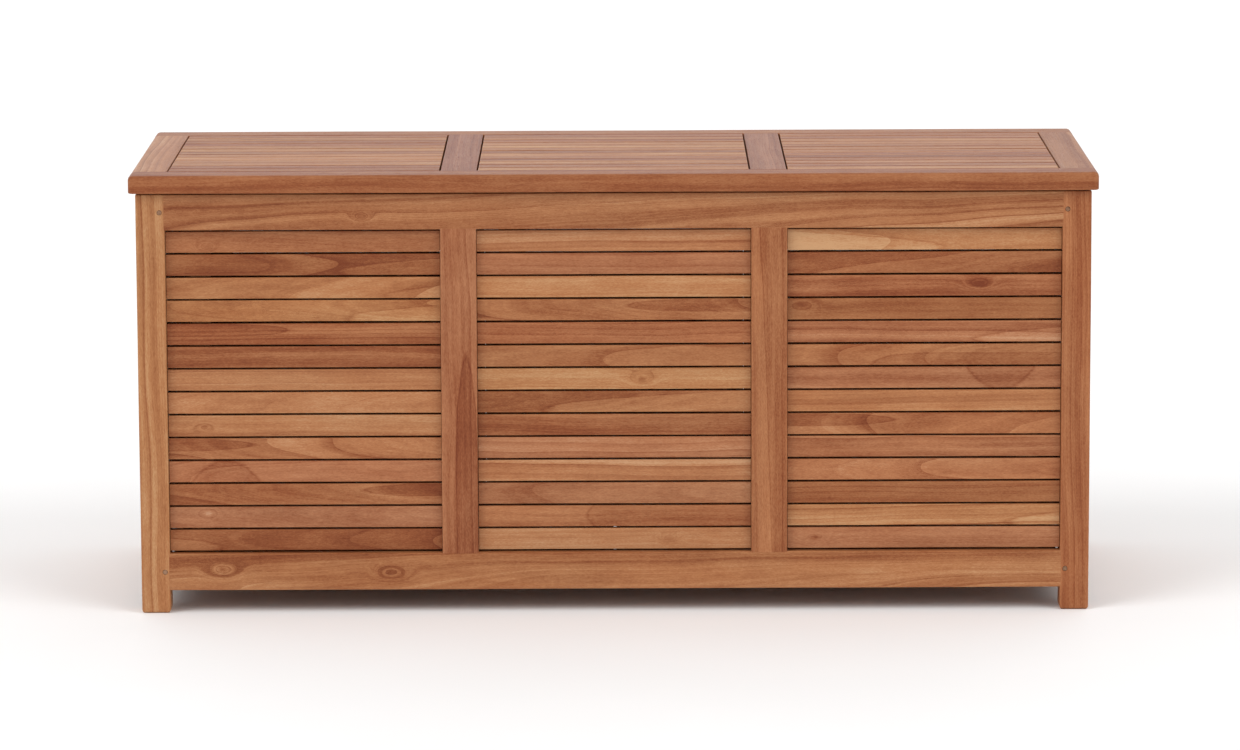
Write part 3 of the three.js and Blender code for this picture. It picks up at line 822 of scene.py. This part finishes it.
def slat_panel(node, body, run, depth, outward, rows, count, looks=None):
    """The slats and battens of one panel. Its slats run along one axis, are stacked along another between
    the two ends of rows, and face outward along the third."""
    stack = 3 - run - depth
    low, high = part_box(node)
    face, back = (high[depth], low[depth]) if outward > 0 else (low[depth], high[depth])
    behind = face - outward * SLAT_THICKNESS
    width = (rows[1] - rows[0] - (count + 1) * SLAT_GAP) / count
    for i in range(count):
        name = "%s_%02d" % (node, i + 1)
        rng = random.Random("place of " + name)
        start = rows[0] + SLAT_GAP + i * (width + SLAT_GAP) + rng.uniform(0, SLAT_PLAY)
        corners = corners_of({
            run: (low[run], high[run]),
            stack: (start, start + width - SLAT_PLAY),
            depth: (face - outward * rng.uniform(0, SLAT_PLAY), behind),
        })
        words = looks[count - 1 - i] if looks else None
        timber(name, *corners, run, depth, body, node, words, SLAT_EASED, SHOULDER, outward)
    for side, middle in (("a", low[run] + BATTEN_FROM_END), ("b", high[run] - BATTEN_FROM_END)):
        corners = corners_of({
            run: (middle - BATTEN_WIDTH / 2, middle + BATTEN_WIDTH / 2),
            stack: (low[stack], high[stack]),
            depth: (behind, back),
        })
        name = "%s_batten_%s" % (node, side)
        timber(name, *corners, stack, depth, body, node, outward=-outward)


def frame_piece(node, corners, along, face, outward, body="carcass", ends=SHOULDER, **shape):
    """A frame member between two corners, with the look chosen for it."""
    look = FRAME_LOOKS.get(node)
    timber(node, *corners, along, face, body, node, look, ends=ends, outward=outward, **shape)


def wall(name, run, depth, outward, start_leg, end_leg, mullions, panels):
    """One wall: its two rails, its mullions and its slats."""
    start, end = high_of(start_leg)[run] - LET_IN, low_of(end_leg)[run] + LET_IN
    for rail in ("top", "bottom"):
        node = "rail_%s_%s" % (name, rail)
        tools = hinge_recesses("box") if (name, rail) == ("back", "top") else None
        frame_piece(node, span(node, run, start, end), run, depth, outward, tools=tools)
    rows = high_of("rail_%s_bottom" % name)[Z], low_of("rail_%s_top" % name)[Z]
    for mullion in mullions:
        node = "mullion_%s_%s" % (name, mullion)
        frame_piece(node, span(node, Z, rows[0] - LET_IN, rows[1] + LET_IN), Z, depth, outward)
    for panel in panels:
        looks = FRONT_LOOKS[panel] if name == "front" else None
        slat_panel("slats_%s_%s" % (name, panel), "carcass", run, depth, outward, rows, SLATS_PER_WALL, looks)


def plug_centre(node, outward):
    """The middle of a plug's face, on the leg's front or back face."""
    low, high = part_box(node)
    return Vector(((low[X] + high[X]) / 2, high[Y] if outward > 0 else low[Y], (low[Z] + high[Z]) / 2))


def legs_and_plugs():
    """The four legs, each with its two plugs let into its front or back face."""
    for end, outward in (("front", -1), ("back", 1)):
        hole = [(outward * PROUD, PLUG_RADIUS + FIT), (-outward * (PLUG_DEPTH + FIT), PLUG_RADIUS + FIT)]
        for side in ("left", "right"):
            leg = "leg_%s_%s" % (end, side)
            plugs = ["plug_%s_%s_%s" % (end, side, rail) for rail in ("top", "bottom")]
            tools = [turned(Y, plug_centre(plug, outward), hole) for plug in plugs]
            frame_piece(leg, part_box(leg), Z, Y, outward, ends=[FOOT_ROUNDING, EASED], tools=tools)
            for plug in plugs:
                screw_plug(plug, outward)


def screw_plug(node, outward):
    """A plug of end grain, slightly domed by sanding."""
    rings = [(PLUG_DEPTH, PLUG_RADIUS), *PLUG_DOME]
    profile = [(-outward * depth, radius) for depth, radius in rings]
    mesh = mesh_of(node, [turned(Y, plug_centre(node, outward), profile)])
    rng = random.Random(node)
    write_grain(mesh, Y, Z, 1, read_look("mid arched", rng), rng)
    add_piece(node, mesh, "carcass", "plug_wood", node)


# -------------------- floor

def floor():
    """The two cleats along the bottom rails, and the two duckboards that lie on them."""
    for end in ("front", "back"):
        node = "floor_cleat_" + end
        timber(node, *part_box(node), X, Z, "carcass", node)
    for side in ("left", "right"):
        duckboard("duckboard_" + side)


def duckboard(node):
    """Boards from front to back on two battens."""
    low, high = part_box(node)
    under = high[Z] - FLOOR_BOARD_THICKNESS
    width = (high[X] - low[X] - (FLOOR_BOARDS - 1) * FLOOR_GAP) / FLOOR_BOARDS
    for i in range(FLOOR_BOARDS):
        start = low[X] + i * (width + FLOOR_GAP)
        corners = (start, low[Y], under), (start + width, high[Y], high[Z])
        timber("%s_%02d" % (node, i + 1), *corners, Y, Z, "carcass", node)
    middle, half = (low[Y] + high[Y]) / 2, FLOOR_BATTEN_WIDTH / 2
    for name, offset in (("a", -FLOOR_BATTEN_OFFSET), ("b", FLOOR_BATTEN_OFFSET)):
        corners = (low[X], middle + offset - half, low[Z]), (high[X], middle + offset + half, under)
        timber("%s_batten_%s" % (node, name), *corners, X, Z, "carcass", node, outward=-1)


# -------------------- lid

def lid():
    """The lid's frame, rounded along its outer top edge, and its slats, flush with the frame's top."""
    front, back = "lid_rail_front", "lid_rail_back"
    round_front = (EASED, EASED, EASED, LID_ROUNDING)
    round_back = (EASED, EASED, LID_ROUNDING, EASED)
    frame_piece(front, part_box(front), X, Z, 1, "lid", rounds=round_front,
                ends=(LID_ROUNDING, EASED, EASED, LID_ROUNDING))
    frame_piece(back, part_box(back), X, Z, 1, "lid", rounds=round_back,
                ends=(EASED, LID_ROUNDING, EASED, LID_ROUNDING), tools=hinge_recesses("lid"))
    inside = high_of(front)[Y], low_of(back)[Y]
    rounds = {"lid_end_left": round_front, "lid_end_right": round_back}
    for node in ("lid_end_left", "lid_mullion_left", "lid_mullion_right", "lid_end_right"):
        corners = span(node, Y, inside[0] - LET_IN, inside[1] + LET_IN)
        frame_piece(node, corners, Y, Z, 1, "lid", rounds=rounds.get(node, EASED))
    for panel in THIRDS:
        looks = [words + " striped" for words in LID_LOOKS[panel]]
        slat_panel("lid_slats_" + panel, "lid", X, Z, 1, inside, SLATS_PER_LID_PANEL, looks)


# -------------------- hinges

def carcass_back():
    """Where the back faces of the legs and rails are."""
    return high_of("leg_back_left")[Y]


def hinge_recesses(part):
    """The shallow recesses for the three leaves on the box or on the lid, open at the back."""
    if part == "box":
        face, outward = high_of("rail_back_top")[Z], 1
    else:
        face, outward = low_of("lid_rail_back")[Z], -1
    bottom, top = sorted((face + outward * PROUD, face - outward * (LEAF_THICKNESS + FIT)))
    back = carcass_back()
    tools = []
    for side in THIRDS:
        low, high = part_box("hinge_leaf_%s_%s" % (part, side))
        corners = (low[X] - FIT, back - LEAF_DEPTH - FIT, bottom), (high[X] + FIT, back + PROUD, top)
        tools.append(bar(*corners, X, Z, SHOULDER, SHOULDER))
    return tools


def screw_head(axis, centre, outward, radius):
    """A raised countersunk screw head with a cross recess."""
    def cross(share):
        return lambda angle: share * radius * (CROSS_HUB + CROSS_ARM * abs(math.cos(2 * angle)) ** 5)

    profile = [(outward * height, share * radius) for height, share in SCREW_DOME]
    profile += [(outward * height, cross(share)) for height, share in SCREW_RECESS]
    return turned(axis, centre, profile)


def knuckle(centre, half):
    """One ring of a hinge's barrel."""
    return turned(X, centre, [
        (-half, BORE_RADIUS), (-half, BARREL_RADIUS - KNUCKLE_RIM), (-half + KNUCKLE_RIM, BARREL_RADIUS),
        (half - KNUCKLE_RIM, BARREL_RADIUS), (half, BARREL_RADIUS - KNUCKLE_RIM), (half, BORE_RADIUS),
    ], looped=True)


def hinge_leaf(node, body, axis, length, face, outward, first_knuckle):
    """A leaf with its free face at a height, its screws, and every second knuckle of the barrel."""
    start, end = axis[X] - length / 2, axis[X] + length / 2
    front = carcass_back() - LEAF_DEPTH
    bottom, top = sorted((face, face - outward * LEAF_THICKNESS))
    corners = (LEAF_CORNER, LEAF_CORNER, KNUCKLE_RIM, KNUCKLE_RIM)
    plate_end = axis[Y] - (BARREL_RADIUS + BORE_RADIUS) / 2 + KNUCKLE_RIM
    shapes = [bar((start, front, bottom), (end, plate_end, top), Z, Y, corners, SHOULDER)]
    pitch = length / KNUCKLES
    for i in range(first_knuckle, KNUCKLES, 2):
        shapes.append(knuckle((start + (i + 0.5) * pitch, axis[Y], axis[Z]), (pitch - FIT) / 2))
    for share, depth in LEAF_SCREWS:
        shapes.append(screw_head(Z, (start + share * length, front + depth, face), outward, LEAF_SCREW))
    add_piece(node, mesh_of(node, shapes), body, "steel", node)


def hinge_pin(node, axis, half):
    """The pin, rounded a little at both ends."""
    near_end = [(depth - half, share * PIN_RADIUS) for depth, share in PIN_TIP]
    far_end = [(half - depth, share * PIN_RADIUS) for depth, share in reversed(PIN_TIP)]
    mesh = mesh_of(node, [turned(X, axis, near_end + far_end)])
    add_piece(node, mesh, "carcass", "steel", node)


def hinge(side):
    """One butt hinge: a leaf on the box and one on the lid, with their knuckles in turn, and the pin."""
    pin = "hinge_pin_" + side
    low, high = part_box(pin)
    axis = (Vector(low) + Vector(high)) / 2
    half = (high[X] - low[X]) / 2
    length = 2 * (half - PIN_END)
    hinge_leaf("hinge_leaf_box_" + side, "carcass", axis, length, high_of("rail_back_top")[Z], 1, 0)
    hinge_leaf("hinge_leaf_lid_" + side, "lid", axis, length, low_of("lid_rail_back")[Z], -1, 1)
    hinge_pin(pin, axis, half)


# -------------------- lid stays

def joint_called(name):
    """What the frame says about one joint."""
    return next(joint for joint in frame["joints"] if joint["name"] == name)


def joint_place(name):
    """A point on a joint's axis."""
    return Vector(joint_called(name)["pos_m"])


def stay(side, outward):
    """One lid stay: the plate with its guide stud, the lid's bracket with its rivet, and the slotted arm."""
    pivot = joint_place("stay_%s_pivot" % side)
    stud = stud_plate("stay_stud_plate_" + side, outward)
    lid_bracket("stay_lid_bracket_" + side, outward, pivot)
    stay_arm("stay_arm_" + side, "stay_" + side, pivot, stud)


def outer_and_inner(node, outward):
    """A node's two ends along X: the one nearer the side of the box, and the one nearer its middle."""
    low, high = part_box(node)
    return (high[X], low[X]) if outward > 0 else (low[X], high[X])


def stud_plate(node, outward):
    """The plate on the side rail and its stud. Returns the middle of the stud's back end."""
    low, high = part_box(node)
    outer, inner = outer_and_inner(node, outward)
    length = abs(inner - outer)
    stud = Vector((outer, (low[Y] + high[Y]) / 2, joint_place("lid_hinge")[Z] - STUD_DROP))
    plate = sorted((outer, outer - outward * SHEET))
    plate_box = (plate[0], low[Y], low[Z]), (plate[1], high[Y], high[Z])
    shapes = [bar(*plate_box, X, Y, PLATE_CORNER, SHEET_EDGE)]
    for start, end, radius, chamfer in (
        (SUNK, STUD_SHOULDER_REACH, STUD_SHOULDER, STUD_CHAMFER),
        (SUNK, length - SUNK / 2, STUD_SHANK, STUD_CHAMFER),
        (length - STUD_HEAD_THICKNESS, length, STUD_HEAD, STUD_HEAD_CHAMFER),
    ):
        shapes.append(knob(X, stud, -outward * start, -outward * end, radius, chamfer))
    side_inset, end_inset = PLATE_SCREW_INSET
    for y in (low[Y] + side_inset, high[Y] - side_inset):
        for z in (low[Z] + end_inset, high[Z] - end_inset):
            shapes.append(screw_head(X, (outer - outward * SHEET, y, z), -outward, PLATE_SCREW))
    add_piece(node, mesh_of(node, shapes), "carcass", "steel", node)
    return stud


def lid_bracket(node, outward, pivot):
    """An angle bracket under the lid, with the rivet that the arm turns on."""
    low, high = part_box(node)
    outer, inner = outer_and_inner(node, outward)
    foot, flange = sorted((outer, inner)), sorted((inner, inner + outward * SHEET))
    foot_face = high[Z] - BRACKET_FOOT
    front, back = pivot[Y] - BRACKET_NOSE, pivot[Y] + BRACKET_NOSE
    nose_centre = Vector((inner, pivot[Y], pivot[Z]))
    nose_reach = outward * NOSE_INSET, outward * (SHEET - NOSE_INSET)
    shapes = [
        bar((foot[0], low[Y], foot_face), (foot[1], high[Y], high[Z]), Z, Y, BRACKET_CORNER, SHOULDER),
        bar((flange[0], front, pivot[Z]), (flange[1], back, high[Z]), X, Y, SHEET_EDGE, SHEET_EDGE),
        knob(X, nose_centre, *nose_reach, BRACKET_NOSE, SHEET_EDGE),
    ]
    # The rivet, in distances from the middle of the arm: its collar stands on the flange.
    arm_face = ARM_THICKNESS / 2
    flange_face = abs(pivot[X] - inner) - SHEET
    head_face = arm_face + RIVET_PLAY
    for start, end, radius, chamfer in (
        (head_face, head_face + RIVET_HEAD_THICKNESS, RIVET_HEAD, RIVET_HEAD_CHAMFER),
        (head_face + SUNK / 2, -flange_face - SUNK, RIVET_SHANK, RIVET_CHAMFER),
        (-arm_face - FIT, -flange_face - COLLAR_SUNK, RIVET_HEAD, RIVET_CHAMFER),
    ):
        shapes.append(knob(X, pivot, outward * start, outward * end, radius, chamfer))
    for y in (low[Y] + BRACKET_SCREW_INSET, high[Y] - BRACKET_SCREW_INSET):
        shapes.append(screw_head(Z, ((foot[0] + foot[1]) / 2, y, foot_face), -1, BRACKET_SCREW))
    add_piece(node, mesh_of(node, shapes), "lid", "steel", node)


def stadium(y_from, y_to, radius):
    """The outline of a slot between two half circles on the line from y_from to y_to."""
    points = []
    for centre, start in ((y_to, 0.0), (y_from, math.pi)):
        for step in range(HALF_CIRCLE_STEPS + 1):
            angle = start + math.pi * step / HALF_CIRCLE_STEPS
            points.append((radius * math.cos(angle), centre + radius * math.sin(angle)))
    return points


def flat_plate(name, outlines, thickness, edge):
    """A mesh in the XY plane of an outline with holes, with its edges rounded off a little."""
    curve = bpy.data.curves.new(name, "CURVE")
    curve.dimensions = "2D"
    curve.fill_mode = "BOTH"
    curve.extrude = thickness / 2 - edge
    curve.bevel_depth = edge
    curve.offset = -edge
    for outline in outlines:
        spline = curve.splines.new("POLY")
        spline.points.add(len(outline) - 1)
        for point, (x, y) in zip(spline.points, outline):
            point.co = (x, y, 0.0, 1.0)
        spline.use_cyclic_u = True
    flat = bpy.data.objects.new(name + "_flat", curve)
    mesh = bpy.data.meshes.new_from_object(flat)
    bpy.data.objects.remove(flat)
    return mesh


def stay_arm(node, body, pivot, stud):
    """The slotted arm, drawn flat with its pivot at the origin, then hung from the pivot towards the stud."""
    hinge_axis = joint_place("lid_hinge")
    reach = math.hypot(pivot[Y] - hinge_axis[Y], pivot[Z] - hinge_axis[Z])
    shut = math.hypot(stud[Y] - pivot[Y], stud[Z] - pivot[Z])
    opening = math.radians(joint_called("lid_hinge")["range_deg"][1])
    opened = 2 * reach * math.sin(math.asin(shut / 2 / reach) + opening / 2)
    first, last = shut - STUD_SHANK - FIT + ARM_SLOT, opened + STUD_SHANK + FIT - ARM_SLOT
    tail = last + ARM_SLOT + ARM_TAIL - ARM_HALF_WIDTH
    outlines = [
        stadium(-tail, 0.0, ARM_HALF_WIDTH),
        stadium(0.0, 0.0, ARM_EYE),
        stadium(-last, -first, ARM_SLOT),
    ]
    mesh = flat_plate(node, outlines, ARM_THICKNESS, ARM_EDGE)
    lean = math.atan2(stud[Y] - pivot[Y], pivot[Z] - stud[Z])
    for vertex in mesh.vertices:
        across, down, out = vertex.co
        y = across * math.cos(lean) - down * math.sin(lean)
        z = across * math.sin(lean) + down * math.cos(lean)
        vertex.co = (pivot[X] + out, pivot[Y] + y, pivot[Z] + z)
    add_piece(node, mesh, body, "steel", node)


# -------------------- assembly

wall("front", X, Y, -1, "leg_front_left", "leg_front_right", ("left", "right"), THIRDS)
wall("back", X, Y, 1, "leg_back_left", "leg_back_right", ("left", "right"), THIRDS)
wall("left", Y, X, -1, "leg_front_left", "leg_back_left", (), ("side",))
wall("right", Y, X, 1, "leg_front_right", "leg_back_right", (), ("side",))
legs_and_plugs()
floor()
lid()
for third in THIRDS:
    hinge(third)
stay("left", -1)
stay("right", 1)

# -------------------- floor, light and camera

FLOOR_SIZE = 60.0
FLOOR_THICKNESS = 0.05
SKY_STRENGTH = 0.77
CAMERA_PLACE = Vector((0.0061, -8.0938, 1.6020))
CAMERA_AIM = Vector((0.0080, 0.0, 0.2914))
CAMERA_ROLL = math.radians(-0.239)
CAMERA_LENS = 167.46  # millimetres, and so is the sensor's width
SENSOR_WIDTH = 36.0


def studio_floor():
    """A wide slab under the box."""
    half = FLOOR_SIZE / 2
    slab = bar((-half, -half, -FLOOR_THICKNESS), (half, half, 0.0), X, Z, rounds=0.001, ends=0.001)
    mesh = mesh_of("studio_floor", [slab])
    mesh.materials.append(pale_floor("pale_floor"))
    new_object("studio_floor", mesh)


def soft_sun(name, azimuth, elevation, strength, spread):
    """A distant soft light. Azimuth 0 shines from the front, and 90 from the right."""
    data = bpy.data.lights.new(name, "SUN")
    data.energy = strength
    data.angle = math.radians(spread)
    light = new_object(name, data)
    a, e = math.radians(azimuth), math.radians(elevation)
    back = Vector((math.sin(a) * math.cos(e), -math.cos(a) * math.cos(e), math.sin(e)))
    light.rotation_mode = "QUATERNION"
    light.rotation_quaternion = back.to_track_quat("Z", "Y")


def studio_light():
    """White light from all round, and three soft lights of different strengths."""
    world = bpy.data.worlds.new("studio")
    world.use_nodes = True
    background = world.node_tree.nodes["Background"]
    background.inputs["Color"].default_value = (1.0, 1.0, 1.0, 1.0)
    background.inputs["Strength"].default_value = SKY_STRENGTH
    bpy.context.scene.world = world
    soft_sun("left_softbox", azimuth=-52, elevation=36, strength=0.92, spread=35)
    soft_sun("right_softbox", azimuth=52, elevation=36, strength=0.73, spread=35)
    soft_sun("back_softbox", azimuth=180, elevation=25, strength=0.35, spread=60)


def camera():
    """The camera, at the photograph's viewing angle."""
    data = bpy.data.cameras.new("camera")
    data.lens = CAMERA_LENS
    data.sensor_width = SENSOR_WIDTH
    data.clip_end = 200.0
    made = new_object("camera", data)
    made.location = CAMERA_PLACE
    made.rotation_mode = "QUATERNION"
    made.rotation_quaternion = (
        (CAMERA_AIM - CAMERA_PLACE).to_track_quat("-Z", "Y") @ Quaternion((0.0, 0.0, 1.0), CAMERA_ROLL)
    )
    bpy.context.scene.camera = made


studio_floor()
studio_light()
camera()
bpy.context.scene.view_settings.view_transform = "Standard"
